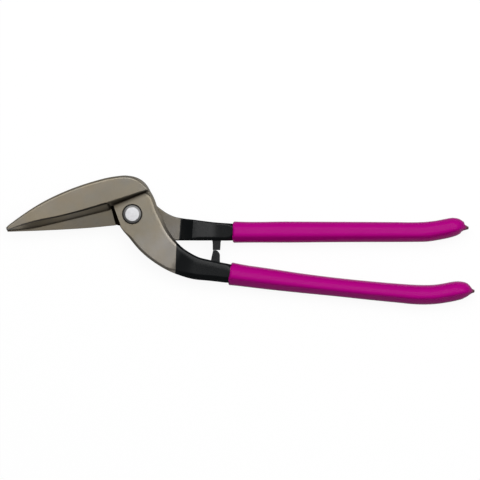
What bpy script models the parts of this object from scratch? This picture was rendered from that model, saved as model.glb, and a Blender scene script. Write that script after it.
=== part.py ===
import math

import bmesh
import bpy
from mathutils import Vector

# Pelican pattern tin snips, closed, lying on the side of the lower blade.
# Z is the pivot's axis and Z = 0 the table, +X runs to the handles and +Y to the blade's back.

# Clearances and cuts
GAP = 0.0003
SWING_GAP = 0.0003
OVERRUN = 0.002
MERGE_DISTANCE = 0.00001

# Pivot
SHANK_RADIUS = 0.0045
THREAD_RADIUS = 0.0040
THREAD_CHAMFER = 0.0005
BOLT_HEAD_RADIUS = 0.0062
BOLT_HEAD_HEIGHT = 0.0026
BOLT_HEAD_CHAMFER = 0.0017
BOLT_HEAD_SLOPE = 0.0009
BOLT_HEAD_PROUD = 0.0003
NUT_ACROSS_FLATS = 0.0130
NUT_HEIGHT = 0.0046
NUT_CHAMFER = 0.0007
NUT_COLLAR_WALL = 0.0009
LOCK_RING_WALL = 0.0008
LOCK_RING_HEIGHT = 0.0008
SPRING_RADIUS = 0.0080
SPRING_THICKNESS = 0.0006
SPRING_DISH = 0.0002
REAR_COUNTERBORE = 0.0013

# Thickness of the two forgings
LOWER_BOSS_THICKNESS = 0.0051
UPPER_BOSS_THICKNESS = 0.0055
SEAT_SINK = 0.0010
LEAF_THICKNESS = 0.0075
LEAF_TIP_THICKNESS = 0.0045
EDGE_LAND = 0.0004
WALL_ROOT = 0.0003
SEAT_CHAMFER = 0.0005
NECK_CHAMFER = 0.0017
ARM_CHAMFER = 0.0025

# Plan of the blades
BLADE_LENGTH = 0.0804
HEAD_RISE = 0.0247

# Plan of the necks and arms
ARM_LENGTH = 0.0620
UPPER_ARM_DROP = 0.0114
LOWER_ARM_DROP = 0.0380
UPPER_NECK_WIDTH = 0.0263
LOWER_NECK_WIDTH = 0.0214

# Dipped grips
GRIP_THICKNESS = 0.0160
GRIP_WALL = 0.0012
GRIP_RIM = 0.0009
HANDLE_LENGTH = 0.2143
LOWER_HANDLE_EXTRA = 0.0038
UPPER_MOUTH_SETBACK = 0.0021
LOWER_MOUTH_SETBACK = 0.0007
UPPER_GRIP_WIDTH = 0.0138
LOWER_GRIP_WIDTH = 0.0153

# Stop lugs
LUG_PLACE = 0.0538
LUG_LENGTH = 0.0044
LUG_FLARE = 0.0008
LUG_FLARE_HEIGHT = 0.0030
LUG_THICKNESS = 0.0076
LUG_SHOULDER = 0.0019
LUG_SHOULDER_HEIGHT = 0.0023
LUG_ROOT = 0.0015

# Levels that follow from the stack of pieces, from the table up
SPRING_LOW = NUT_HEIGHT + GAP
SPRING_HIGH = SPRING_LOW + SPRING_THICKNESS + SPRING_DISH
REAR_FLOOR = SPRING_HIGH + GAP
LOWER_BOSS_LOW = REAR_FLOOR - REAR_COUNTERBORE
LOWER_SEAT = LOWER_BOSS_LOW + LOWER_BOSS_THICKNESS
UPPER_SEAT = LOWER_SEAT + SWING_GAP
LOWER_SHEAR = LOWER_SEAT + SEAT_SINK
UPPER_SHEAR = UPPER_SEAT + SEAT_SINK
UPPER_BOSS_HIGH = UPPER_SEAT + UPPER_BOSS_THICKNESS
BOLT_HEAD_HIGH = UPPER_BOSS_HIGH + BOLT_HEAD_PROUD
BOLT_HEAD_LOW = BOLT_HEAD_HIGH - BOLT_HEAD_HEIGHT
FRONT_FLOOR = BOLT_HEAD_LOW - GAP
ARM_LOW = GRIP_WALL + GAP
ARM_HIGH = GRIP_THICKNESS - GRIP_WALL - GAP
ARM_MIDDLE = GRIP_THICKNESS / 2
LOCK_RING_LOW = GAP
NUT_COLLAR_HEIGHT = LOCK_RING_LOW + LOCK_RING_HEIGHT + GAP

# The stretch of each handle that its grip covers, along X from the pivot
UPPER_MOUTH = ARM_LENGTH + UPPER_MOUTH_SETBACK
LOWER_MOUTH = ARM_LENGTH + LOWER_MOUTH_SETBACK
UPPER_GRIP_LENGTH = HANDLE_LENGTH - UPPER_MOUTH
LOWER_GRIP_LENGTH = HANDLE_LENGTH + LOWER_HANDLE_EXTRA - LOWER_MOUTH

# Colours
STEEL = (0.26, 0.23, 0.18)
BRIGHT_STEEL = (0.72, 0.72, 0.75)
SPRING_STEEL = (0.10, 0.10, 0.11)
ZINC = (0.60, 0.60, 0.58)
NYLON = (0.70, 0.70, 0.64)
GRIP_COLOUR = (0.48, 0.004, 0.25)

# Round edges and smooth runs
TURNED_STEPS = 40
GRIP_SIDES = 20
GRIP_SQUARENESS = 2.6
SPAN_STEPS = 3
RIM_STEPS = 3

# Rows of a blade's plan, as shares of the blade's length and of the head's rise: first a point
# at the shear face, then the point above it on the outer face. The back runs from the tip to the
# head, the edge from the tip to the heel, and the wall along the step down to the boss.
UPPER_BACK_SHARES = (
    (-1.000, -0.350, -0.988, -0.355),
    (-0.982, -0.272, -0.972, -0.290),
    (-0.887, -0.053, -0.880, -0.086),
    (-0.713, 0.308, -0.706, 0.264),
    (-0.522, 0.603, -0.516, 0.555),
    (-0.333, 0.822, -0.328, 0.772),
    (-0.143, 0.972, -0.140, 0.915),
    (-0.045, 1.000, -0.045, 0.940),
    (0.047, 0.931, 0.039, 0.866),
    (0.095, 0.814, 0.080, 0.760),
    (0.123, 0.704, 0.096, 0.712),
    (0.141, 0.603, 0.101, 0.676),
)
UPPER_EDGE_SHARES = (
    (-0.993, -0.417, -0.985, -0.385),
    (-0.927, -0.401, -0.924, -0.328),
    (-0.821, -0.372, -0.813, -0.215),
    (-0.729, -0.316, -0.725, -0.146),
    (-0.571, -0.194, -0.566, -0.045),
    (-0.412, -0.069, -0.408, 0.089),
    (-0.177, 0.117, -0.206, 0.281),
)
UPPER_WALL_SHARES = (
    (-0.162, 0.206, -0.199, 0.291),
    (0.137, 0.591, 0.095, 0.656),
)
LOWER_BACK_SHARES = (
    (-0.986, -0.453, -0.983, -0.441),
    (-0.746, -0.427, -0.745, -0.389),
    (-0.571, -0.401, -0.570, -0.356),
    (-0.333, -0.352, -0.332, -0.304),
    (-0.129, -0.287, -0.131, -0.243),
)
LOWER_EDGE_SHARES = (
    (-0.994, -0.389, -0.988, -0.413),
    (-0.927, -0.360, -0.925, -0.401),
    (-0.821, -0.296, -0.818, -0.352),
    (-0.729, -0.219, -0.725, -0.316),
    (-0.571, -0.073, -0.563, -0.207),
    (-0.412, 0.077, -0.404, -0.077),
    (-0.165, 0.300, -0.157, 0.142),
)

# Stations of a neck and arm, from the boss to the grip: shares of the arm's length, of its drop and
# of the neck's width, then how far the section has grown from the thin boss to the full arm.
# The halves cross at the pivot, so the upper blade's neck leads to the lower arm.
UPPER_NECK_SHARES = (
    (-0.052, -0.447, 0.760, 0.0),
    (-0.006, -0.275, 0.950, 0.0),
    (0.061, 0.013, 1.000, 0.0),
    (0.131, 0.187, 0.916, 0.0),
    (0.215, 0.411, 0.844, 0.0),
    (0.323, 0.603, 0.734, 0.0),
    (0.429, 0.757, 0.620, 0.4),
    (0.531, 0.842, 0.570, 0.8),
    (0.652, 0.911, 0.532, 1.0),
    (0.777, 0.945, 0.490, 1.0),
    (0.887, 0.974, 0.460, 1.0),
    (0.968, 0.993, 0.452, 1.0),
)
LOWER_NECK_SHARES = (
    (-0.290, 0.193, 0.444, 0.0),
    (-0.202, 0.026, 0.626, 0.0),
    (-0.097, -0.079, 0.850, 0.0),
    (0.000, -0.061, 0.981, 0.0),
    (0.105, 0.105, 1.000, 0.0),
    (0.202, 0.395, 0.921, 0.0),
    (0.306, 0.640, 0.804, 0.0),
    (0.403, 0.789, 0.724, 0.0),
    (0.500, 0.864, 0.650, 0.0),
    (0.621, 0.921, 0.589, 1.0),
    (0.785, 0.974, 0.533, 1.0),
    (0.968, 0.990, 0.524, 1.0),
)

# Stations of a handle inside its grip: shares of the grip's length from its mouth, of the arm's
# drop and of the grip's width at the mouth.
UPPER_HANDLE_SHARES = (
    (0.000, 1.000, 1.000),
    (0.239, 1.000, 0.978),
    (0.485, 0.996, 0.946),
    (0.692, 1.000, 0.928),
    (0.769, 1.003, 0.917),
    (0.820, 0.982, 0.924),
    (0.871, 0.895, 0.906),
    (0.911, 0.790, 0.900),
    (0.938, 0.711, 0.862),
)
LOWER_HANDLE_SHARES = (
    (0.000, 0.996, 1.000),
    (0.138, 1.076, 0.895),
    (0.285, 1.154, 0.824),
    (0.432, 1.221, 0.781),
    (0.580, 1.284, 0.788),
    (0.679, 1.321, 0.800),
    (0.777, 1.350, 0.827),
    (0.826, 1.347, 0.820),
    (0.875, 1.324, 0.817),
    (0.916, 1.292, 0.817),
)
# The closed end of a grip and its drip, in the same shares.
UPPER_END_SHARES = (
    (0.955, 0.693, 0.768),
    (0.968, 0.702, 0.638),
    (0.978, 0.719, 0.464),
    (0.984, 0.737, 0.290),
    (0.987, 0.746, 0.174),
    (0.995, 0.754, 0.160),
    (1.000, 0.754, 0.094),
)
LOWER_END_SHARES = (
    (0.938, 1.275, 0.778),
    (0.956, 1.271, 0.647),
    (0.970, 1.276, 0.484),
    (0.979, 1.284, 0.300),
    (0.983, 1.288, 0.150),
    (0.995, 1.293, 0.144),
    (1.000, 1.295, 0.085),
)
# Where the stop lugs meet, as a share of the space between the arms.
STOP_SHARE = 0.457


def clear_scene():
    for old in list(bpy.data.objects):
        bpy.data.objects.remove(old, do_unlink=True)


def new_collection(name):
    collection = bpy.data.collections.new(name)
    bpy.context.scene.collection.children.link(collection)
    return collection


clear_scene()
PARTS = new_collection("tin_snips")
CUTTERS = new_collection("cutters")


def add_object(name, mesh, collection):
    made = bpy.data.objects.new(name, mesh)
    collection.objects.link(made)
    if collection == CUTTERS:
        made.hide_render = True
        made.display_type = "WIRE"
    return made


def spline(rows, steps):
    # A smooth curve through the rows. Their last value runs straight from row to row.
    spans = [math.dist(a[:2], b[:2]) for a, b in zip(rows, rows[1:])]
    rates = [[(q - p) / span for p, q in zip(a, b)] for a, b, span in zip(rows, rows[1:], spans)]
    slopes = [rates[0]]
    for i in range(1, len(rows) - 1):
        near, far = spans[i - 1], spans[i]
        slopes.append([(p * far + q * near) / (near + far) for p, q in zip(rates[i - 1], rates[i])])
    slopes.append(rates[-1])
    curve = []
    for i, span in enumerate(spans):
        for step in range(steps):
            t = step / steps
            start = 2 * t**3 - 3 * t**2 + 1
            lead = (t**3 - 2 * t**2 + t) * span
            trail = (t**3 - t**2) * span
            values = [
                p * start + u * lead + q * (1 - start) + v * trail
                for p, q, u, v in zip(rows[i], rows[i + 1], slopes[i], slopes[i + 1])
            ]
            values[-1] = rows[i][-1] * (1 - t) + rows[i + 1][-1] * t
            curve.append(values)
    curve.append(list(rows[-1]))
    return curve


def loft(name, rings, collection):
    # A closed skin over rings that have the same number of points, with flat ends.
    body = bmesh.new()
    loops = [[body.verts.new(point) for point in ring] for ring in rings]
    for near, far in zip(loops, loops[1:]):
        for i in range(len(near)):
            j = (i + 1) % len(near)
            body.faces.new((near[i], near[j], far[j], far[i]))
    body.faces.new(loops[0])
    body.faces.new(loops[-1])
    bmesh.ops.recalc_face_normals(body, faces=body.faces)
    mesh = bpy.data.meshes.new(name)
    body.to_mesh(mesh)
    body.free()
    return add_object(name, mesh, collection)


def turned(name, profile, collection, ring=False):
    # A profile of (radius, height) points, run down its outer side, spun about the pivot.
    mesh = bpy.data.meshes.new(name)
    edges = [(i, i + 1) for i in range(len(profile) - 1)]
    if ring:
        edges.append((len(profile) - 1, 0))
    mesh.from_pydata([(radius, 0, height) for radius, height in profile], edges, [])
    made = add_object(name, mesh, collection)
    spin = made.modifiers.new("spin", "SCREW")
    spin.steps = spin.render_steps = TURNED_STEPS
    spin.use_merge_vertices = True
    spin.merge_threshold = MERGE_DISTANCE
    spin.use_smooth_shade = True
    return made


def combine(target, other, operation):
    change = target.modifiers.new(other.name, "BOOLEAN")
    change.operation = operation
    change.object = other
    change.solver = "EXACT"


def finish(piece, colour, roughness, metallic):
    material = bpy.data.materials.new(piece.name)
    material.use_nodes = True
    shader = material.node_tree.nodes["Principled BSDF"]
    shader.inputs["Base Color"].default_value = (*colour, 1.0)
    shader.inputs["Roughness"].default_value = roughness
    shader.inputs["Metallic"].default_value = metallic
    material.diffuse_color = (*colour, 1.0)
    piece.data.materials.append(material)


def sections(curve, outline):
    # One ring across the curve at each of its points; outline gives its (sideways, height) points.
    rings = []
    for before, here, after in zip(curve[:1] + curve, curve, curve[1:] + curve[-1:]):
        along = Vector((after[0] - before[0], after[1] - before[1], 0)).normalized()
        across = Vector((-along.y, along.x, 0))
        centre = Vector((here[0], here[1], 0))
        rings.append([centre + across * side + Vector((0, 0, up)) for side, up in outline(here)])
    return rings


def bar_outline(half, low, high, low_chamfer, high_chamfer):
    return (
        (-half, low + low_chamfer),
        (-half, high - high_chamfer),
        (-half + high_chamfer, high),
        (half - high_chamfer, high),
        (half, high - high_chamfer),
        (half, low + low_chamfer),
        (half - low_chamfer, low),
        (-half + low_chamfer, low),
    )


def mix(start, end, share):
    return start + (end - start) * share


# Blades


def leaf_thickness(x):
    # The outer face leans in one plane from the head to the tip.
    head = BLADE_LENGTH * UPPER_BACK_SHARES[-1][0]
    lean = (LEAF_THICKNESS - LEAF_TIP_THICKNESS) / (BLADE_LENGTH + head)
    return LEAF_THICKNESS - (head - x) * lean


def plan_rows(shares):
    scales = (BLADE_LENGTH, HEAD_RISE, BLADE_LENGTH, HEAD_RISE)
    return [[share * scale for share, scale in zip(row, scales)] for row in shares]


def blade(name, back, edge, wall, shear, side, wall_height):
    # The back is chamfered evenly, the edge rises from a narrow land and the wall from the boss.
    rows = []
    for row in back:
        inset = math.dist(row[:2], row[2:])
        rows.append((row, leaf_thickness(row[0]) - inset))
    for row in reversed(wall):
        rows.append((row, wall_height))
    for row in reversed(edge):
        rows.append((row, EDGE_LAND))
    foot = [(row[0], row[1], shear) for row, knee in rows]
    knees = [(row[0], row[1], shear + side * knee) for row, knee in rows]
    face = [(row[2], row[3], shear + side * leaf_thickness(row[2])) for row, knee in rows]
    return loft(name, (foot, knees, face), PARTS)


# Handles


def neck_rows(shares, drop, width):
    return [(x * ARM_LENGTH, -y * drop, w * width, growth) for x, y, w, growth in shares]


def handle_rows(shares, mouth, length, drop, width):
    # The widths are the tang's, inside the wall of the grip.
    cover = 2 * (GRIP_WALL + GAP)
    return [(mouth + x * length, -y * drop, w * width - cover, 1.0) for x, y, w in shares]


class Handle:
    # The centre line that a neck, its arm, its tang and its grip share.
    def __init__(self, neck, handle, end):
        self.line = spline(neck + handle + end, SPAN_STEPS)
        self.mouth = len(neck) * SPAN_STEPS
        self.tip = (len(neck) + len(handle) - 1) * SPAN_STEPS

    def edge_at(self, x, side):
        # The height in plan of the arm's edge at this x, above (1) or below (-1) the centre line.
        for near, far in zip(self.line, self.line[1:]):
            if near[0] <= x <= far[0]:
                share = (x - near[0]) / (far[0] - near[0])
                lean = math.hypot(far[0] - near[0], far[1] - near[1]) / (far[0] - near[0])
                return mix(near[1], far[1], share) + side * mix(near[2], far[2], share) / 2 * lean
        return self.line[-1][1]

    def shifted(self, distance):
        # The point of the line this far into the grip from its mouth.
        near, far = self.line[self.mouth], self.line[self.mouth + 1]
        share = distance / math.dist(near[:2], far[:2])
        return [mix(p, q, share) for p, q in zip(near, far)]


def limb(name, handle, boss_low, boss_high, low_chamfer, high_chamfer):
    # One bar from the boss to the end of the tang.
    def outline(here):
        half, growth = here[2] / 2, here[3]
        return bar_outline(
            half,
            mix(boss_low, ARM_LOW, growth),
            mix(boss_high, ARM_HIGH, growth),
            mix(low_chamfer, ARM_CHAMFER, growth),
            mix(high_chamfer, ARM_CHAMFER, growth),
        )

    return loft(name, sections(handle.line[: handle.tip + 1], outline), CUTTERS)


def lug(name, rows):
    # A block of (place in plan, low x, high x) slices, as thick as the flat of the arm.
    low, high = ARM_MIDDLE - LUG_THICKNESS / 2, ARM_MIDDLE + LUG_THICKNESS / 2
    rings = [
        [(left, y, low), (right, y, low), (right, y, high), (left, y, high)]
        for y, left, right in rows
    ]
    return loft(name, rings, CUTTERS)


def grip(name, handle, colour):
    cover = 2 * (GRIP_WALL + GAP)
    full = handle.line[handle.tip][2] + cover
    rim = []
    for step in range(RIM_STEPS + 1):
        turn = math.pi / 2 * step / RIM_STEPS
        point = handle.shifted(GRIP_RIM * (1 - math.cos(turn)))
        rim.append(point[:3] + [GRIP_RIM * (1 - math.sin(turn))])
    skin = rim + [point[:3] + [0] for point in handle.line[handle.mouth + 1 :]]

    def oval(here):
        wide = (here[2] + cover) / 2 - here[3]
        tall = GRIP_THICKNESS / 2 - here[3]
        tall *= min(1, (here[2] + cover) / full)
        points = []
        for i in range(GRIP_SIDES):
            turn = 2 * math.pi * i / GRIP_SIDES
            side = abs(math.cos(turn)) ** (2 / GRIP_SQUARENESS) * wide
            up = abs(math.sin(turn)) ** (2 / GRIP_SQUARENESS) * tall
            up = math.copysign(up, math.sin(turn))
            points.append((math.copysign(side, math.cos(turn)), ARM_MIDDLE + up))
        return points

    def socket(here):
        half = here[2] / 2 + GAP
        return bar_outline(half, ARM_LOW - GAP, ARM_HIGH + GAP, ARM_CHAMFER, ARM_CHAMFER)

    piece = loft(name, sections(skin, oval), PARTS)
    piece.data.shade_smooth()
    last, before = handle.line[handle.tip], handle.line[handle.tip - 1]
    reach = 1 + GAP / math.dist(last[:2], before[:2])
    deep = [mix(p, q, reach) for p, q in zip(before, last)]
    hollow = [handle.shifted(-OVERRUN)] + handle.line[handle.mouth : handle.tip] + [deep]
    combine(piece, loft(name + "_socket", sections(hollow, socket), CUTTERS), "DIFFERENCE")
    finish(piece, colour, 0.25, 0.0)
    return piece


# Pieces


def upper_blade_half(handle, other):
    back = spline(plan_rows(UPPER_BACK_SHARES), SPAN_STEPS)
    edge = spline(plan_rows(UPPER_EDGE_SHARES), SPAN_STEPS)
    wall = plan_rows(UPPER_WALL_SHARES)
    rise = UPPER_BOSS_HIGH - UPPER_SHEAR - WALL_ROOT
    piece = blade("upper_blade_half", back, edge, wall, UPPER_SHEAR, 1, rise)
    bar = limb("upper_limb", handle, UPPER_SEAT, UPPER_BOSS_HIGH, SEAT_CHAMFER, NECK_CHAMFER)
    combine(piece, bar, "UNION")
    root = handle.edge_at(LUG_PLACE, 1)
    stop = mix(other.edge_at(LUG_PLACE, -1), root, STOP_SHARE) - GAP / 2
    left, right = LUG_PLACE - LUG_LENGTH / 2, LUG_PLACE + LUG_LENGTH / 2
    slices = (
        (root - LUG_ROOT, left - LUG_FLARE, right),
        (root, left - LUG_FLARE, right),
        (root + LUG_FLARE_HEIGHT, left, right),
        (stop - LUG_SHOULDER_HEIGHT, left, right),
        (stop, left, right - LUG_SHOULDER),
    )
    combine(piece, lug("upper_half_lug", slices), "UNION")
    bore = (
        (0, UPPER_BOSS_HIGH + OVERRUN),
        (BOLT_HEAD_RADIUS + GAP, UPPER_BOSS_HIGH + OVERRUN),
        (BOLT_HEAD_RADIUS + GAP, FRONT_FLOOR),
        (SHANK_RADIUS + GAP, FRONT_FLOOR),
        (SHANK_RADIUS + GAP, UPPER_SEAT - OVERRUN),
        (0, UPPER_SEAT - OVERRUN),
    )
    combine(piece, turned("upper_bore", bore, CUTTERS), "DIFFERENCE")
    finish(piece, STEEL, 0.45, 0.9)
    return piece


def lower_blade_half(handle, other):
    back = spline(plan_rows(LOWER_BACK_SHARES), SPAN_STEPS)
    edge = spline(plan_rows(LOWER_EDGE_SHARES), SPAN_STEPS)
    piece = blade("lower_blade_half", back, edge, (), LOWER_SHEAR, -1, 0)
    bar = limb("lower_limb", handle, LOWER_BOSS_LOW, LOWER_SEAT, NECK_CHAMFER, SEAT_CHAMFER)
    combine(piece, bar, "UNION")
    root = handle.edge_at(LUG_PLACE, -1)
    stop = mix(root, other.edge_at(LUG_PLACE, 1), STOP_SHARE) + GAP / 2
    left, right = LUG_PLACE - LUG_LENGTH / 2, LUG_PLACE + LUG_LENGTH / 2
    slices = (
        (root + LUG_ROOT, left, right + LUG_FLARE),
        (root, left, right + LUG_FLARE),
        (root - LUG_FLARE_HEIGHT, left, right),
        (stop, left, right),
    )
    combine(piece, lug("lower_half_lug", slices), "UNION")
    bore = (
        (0, LOWER_SEAT + OVERRUN),
        (SHANK_RADIUS + GAP, LOWER_SEAT + OVERRUN),
        (SHANK_RADIUS + GAP, REAR_FLOOR),
        (SPRING_RADIUS + GAP, REAR_FLOOR),
        (SPRING_RADIUS + GAP, LOWER_BOSS_LOW - OVERRUN),
        (0, LOWER_BOSS_LOW - OVERRUN),
    )
    combine(piece, turned("lower_bore", bore, CUTTERS), "DIFFERENCE")
    finish(piece, STEEL, 0.45, 0.9)
    return piece


def pivot_bolt():
    profile = (
        (0, BOLT_HEAD_HIGH),
        (BOLT_HEAD_RADIUS - BOLT_HEAD_CHAMFER, BOLT_HEAD_HIGH),
        (BOLT_HEAD_RADIUS, BOLT_HEAD_HIGH - BOLT_HEAD_SLOPE),
        (BOLT_HEAD_RADIUS, BOLT_HEAD_LOW),
        (SHANK_RADIUS, BOLT_HEAD_LOW),
        (SHANK_RADIUS, REAR_FLOOR),
        (THREAD_RADIUS, REAR_FLOOR),
        (THREAD_RADIUS, THREAD_CHAMFER),
        (THREAD_RADIUS - THREAD_CHAMFER, 0),
        (0, 0),
    )
    finish(turned("pivot_bolt", profile, PARTS), BRIGHT_STEEL, 0.2, 1.0)


def disc_spring():
    inner = THREAD_RADIUS + GAP
    profile = (
        (SPRING_RADIUS, SPRING_HIGH),
        (SPRING_RADIUS, SPRING_HIGH - SPRING_THICKNESS),
        (inner, SPRING_LOW),
        (inner, SPRING_LOW + SPRING_THICKNESS),
    )
    finish(turned("disc_spring", profile, PARTS, ring=True), SPRING_STEEL, 0.4, 0.9)


def pivot_nut():
    thread = THREAD_RADIUS + GAP
    recess = thread + LOCK_RING_WALL + GAP
    collar = recess + NUT_COLLAR_WALL
    flat = NUT_ACROSS_FLATS / 2
    corner = flat / math.cos(math.pi / 6)
    bpy.ops.mesh.primitive_cylinder_add(
        vertices=6,
        radius=corner,
        depth=NUT_HEIGHT - NUT_COLLAR_HEIGHT,
        location=(0, 0, mix(NUT_COLLAR_HEIGHT, NUT_HEIGHT, 0.5)),
    )
    piece = bpy.context.active_object
    piece.name = piece.data.name = "pivot_nut"
    for collection in list(piece.users_collection):
        collection.objects.unlink(piece)
    PARTS.objects.link(piece)
    wide = corner + GAP
    fall = NUT_CHAMFER * (wide - flat) / (corner - flat)
    envelope = (
        (0, NUT_HEIGHT),
        (flat, NUT_HEIGHT),
        (wide, NUT_HEIGHT - fall),
        (wide, NUT_COLLAR_HEIGHT + fall),
        (flat, NUT_COLLAR_HEIGHT),
        (0, NUT_COLLAR_HEIGHT),
    )
    combine(piece, turned("nut_envelope", envelope, CUTTERS), "INTERSECT")
    sleeve = (
        (0, NUT_HEIGHT - NUT_CHAMFER),
        (collar, NUT_HEIGHT - NUT_CHAMFER),
        (collar, 0),
        (0, 0),
    )
    combine(piece, turned("nut_collar", sleeve, CUTTERS), "UNION")
    bore = (
        (0, NUT_HEIGHT + OVERRUN),
        (thread, NUT_HEIGHT + OVERRUN),
        (thread, NUT_COLLAR_HEIGHT),
        (recess, NUT_COLLAR_HEIGHT),
        (recess, -OVERRUN),
        (0, -OVERRUN),
    )
    combine(piece, turned("nut_bore", bore, CUTTERS), "DIFFERENCE")
    finish(piece, ZINC, 0.35, 0.9)


def nut_lock_ring():
    inner = THREAD_RADIUS + GAP
    outer = inner + LOCK_RING_WALL
    high = LOCK_RING_LOW + LOCK_RING_HEIGHT
    profile = ((outer, high), (outer, LOCK_RING_LOW), (inner, LOCK_RING_LOW), (inner, high))
    finish(turned("nut_lock_ring", profile, PARTS, ring=True), NYLON, 0.5, 0.0)


def half_empty(name, pieces):
    # An empty on the pivot's axis that carries one half of the tool.
    holder = bpy.data.objects.new(name, None)
    PARTS.objects.link(holder)
    for piece in pieces:
        piece.parent = holder


upper_handle = Handle(
    neck_rows(LOWER_NECK_SHARES, UPPER_ARM_DROP, LOWER_NECK_WIDTH),
    handle_rows(UPPER_HANDLE_SHARES, UPPER_MOUTH, UPPER_GRIP_LENGTH, UPPER_ARM_DROP, UPPER_GRIP_WIDTH),
    handle_rows(UPPER_END_SHARES, UPPER_MOUTH, UPPER_GRIP_LENGTH, UPPER_ARM_DROP, UPPER_GRIP_WIDTH),
)
lower_handle = Handle(
    neck_rows(UPPER_NECK_SHARES, LOWER_ARM_DROP, UPPER_NECK_WIDTH),
    handle_rows(LOWER_HANDLE_SHARES, LOWER_MOUTH, LOWER_GRIP_LENGTH, LOWER_ARM_DROP, LOWER_GRIP_WIDTH),
    handle_rows(LOWER_END_SHARES, LOWER_MOUTH, LOWER_GRIP_LENGTH, LOWER_ARM_DROP, LOWER_GRIP_WIDTH),
)
half_empty(
    "upper_blade_side",
    (upper_blade_half(lower_handle, upper_handle), grip("lower_grip", lower_handle, GRIP_COLOUR)),
)
half_empty(
    "lower_blade_side",
    (lower_blade_half(upper_handle, lower_handle), grip("upper_grip", upper_handle, GRIP_COLOUR)),
)
pivot_bolt()
disc_spring()
pivot_nut()
nut_lock_ring()
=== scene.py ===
import math

import bmesh
import bpy
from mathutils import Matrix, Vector


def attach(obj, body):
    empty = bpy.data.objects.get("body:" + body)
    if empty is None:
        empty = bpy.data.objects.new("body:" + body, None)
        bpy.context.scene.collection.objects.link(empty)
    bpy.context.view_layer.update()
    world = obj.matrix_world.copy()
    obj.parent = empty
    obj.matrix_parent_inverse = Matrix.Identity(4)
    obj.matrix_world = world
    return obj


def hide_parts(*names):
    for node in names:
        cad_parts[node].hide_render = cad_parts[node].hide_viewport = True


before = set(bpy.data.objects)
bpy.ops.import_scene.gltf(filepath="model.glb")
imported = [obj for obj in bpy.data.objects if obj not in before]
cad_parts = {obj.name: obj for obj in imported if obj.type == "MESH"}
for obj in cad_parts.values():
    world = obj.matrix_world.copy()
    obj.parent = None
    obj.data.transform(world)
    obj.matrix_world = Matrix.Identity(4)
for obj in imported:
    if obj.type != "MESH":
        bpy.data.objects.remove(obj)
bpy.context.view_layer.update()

# Pelican tin snips, lying closed on a pale table. Sizes are in millimetres until they are scaled.
mm = 0.001


def onTable(x, y, z=0.0):
    return Vector((x * mm, y * mm, z * mm))


# Camera: it looks straight down, one photograph pixel to 0.637 mm
cameraView = {"pixels": 480, "pixel": 0.637, "pivotX": 132.17, "pivotY": 214.2, "height": 420, "clip": (0.01, 10)}


def makeCamera():
    camera = bpy.data.objects.new("camera", bpy.data.cameras.new("camera"))
    bpy.context.scene.collection.objects.link(camera)
    middle, pixel = cameraView["pixels"] / 2, cameraView["pixel"]
    camera.data.type = "ORTHO"
    camera.data.ortho_scale = cameraView["pixels"] * pixel * mm
    right, up = middle - cameraView["pivotX"], cameraView["pivotY"] - middle
    camera.location = onTable(right * pixel, up * pixel, cameraView["height"])
    camera.data.clip_start, camera.data.clip_end = cameraView["clip"]
    bpy.context.scene.camera = camera


# Modelling helpers. A turned outline is welded on its axis within weldReach, in metres.
spinSteps = 96
weldReach = 0.000002
smoothAngle, dippedAngle = 27, 50


def addedPrimitive(name):
    piece = bpy.context.active_object
    piece.name = piece.data.name = name
    return piece


def pick(piece):
    bpy.ops.object.select_all(action="DESELECT")
    piece.select_set(True)
    bpy.context.view_layer.objects.active = piece


def faceOutwards():
    bpy.ops.mesh.select_all(action="SELECT")
    bpy.ops.mesh.normals_make_consistent(inside=False)
    bpy.ops.object.mode_set(mode="OBJECT")


def placeRing(piece, points):
    # the selected ring goes where the next section is, each point by its own number
    mesh = bmesh.from_edit_mesh(piece.data)
    number = mesh.verts.layers.int["number"]
    for vert in mesh.verts:
        if vert.select:
            vert.co = points[vert[number]]
    bmesh.update_edit_mesh(piece.data)


def extrudedPiece(name, rings):
    # a filled ring, extruded from section to section
    bpy.ops.mesh.primitive_circle_add(vertices=len(rings[0]), radius=mm, fill_type="NGON")
    piece = addedPrimitive(name)
    bpy.ops.object.mode_set(mode="EDIT")
    mesh = bmesh.from_edit_mesh(piece.data)
    number = mesh.verts.layers.int.new("number")
    for i, vert in enumerate(mesh.verts):
        vert[number] = i
    placeRing(piece, rings[0])
    for ring in rings[1:]:
        bpy.ops.mesh.extrude_region_move()
        placeRing(piece, ring)
    faceOutwards()
    piece.data.attributes.remove(piece.data.attributes["number"])
    return piece


def turnedPiece(name, profile):
    # a closed outline of (radius, height) in mm, spun once round the pivot
    bpy.ops.mesh.primitive_circle_add(vertices=len(profile), radius=mm, fill_type="NOTHING")
    piece = addedPrimitive(name)
    for vert, (radius, height) in zip(piece.data.vertices, profile):
        vert.co = onTable(radius, 0, height)
    bpy.ops.object.mode_set(mode="EDIT")
    bpy.ops.mesh.select_all(action="SELECT")
    bpy.ops.mesh.spin(steps=spinSteps, angle=2 * math.pi, center=(0, 0, 0), axis=(0, 0, 1))
    bpy.ops.mesh.select_all(action="SELECT")
    bpy.ops.mesh.remove_doubles(threshold=weldReach)
    bpy.ops.mesh.dissolve_degenerate(threshold=weldReach / 2)
    bpy.ops.mesh.delete_loose(use_verts=True, use_edges=True, use_faces=False)
    faceOutwards()
    return piece


def combine(piece, other, operation):
    pick(piece)
    change = piece.modifiers.new(operation.lower(), "BOOLEAN")
    change.operation = operation
    change.object = other
    change.solver = "EXACT"
    bpy.ops.object.modifier_apply(modifier=change.name)
    bpy.data.objects.remove(other, do_unlink=True)


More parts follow.
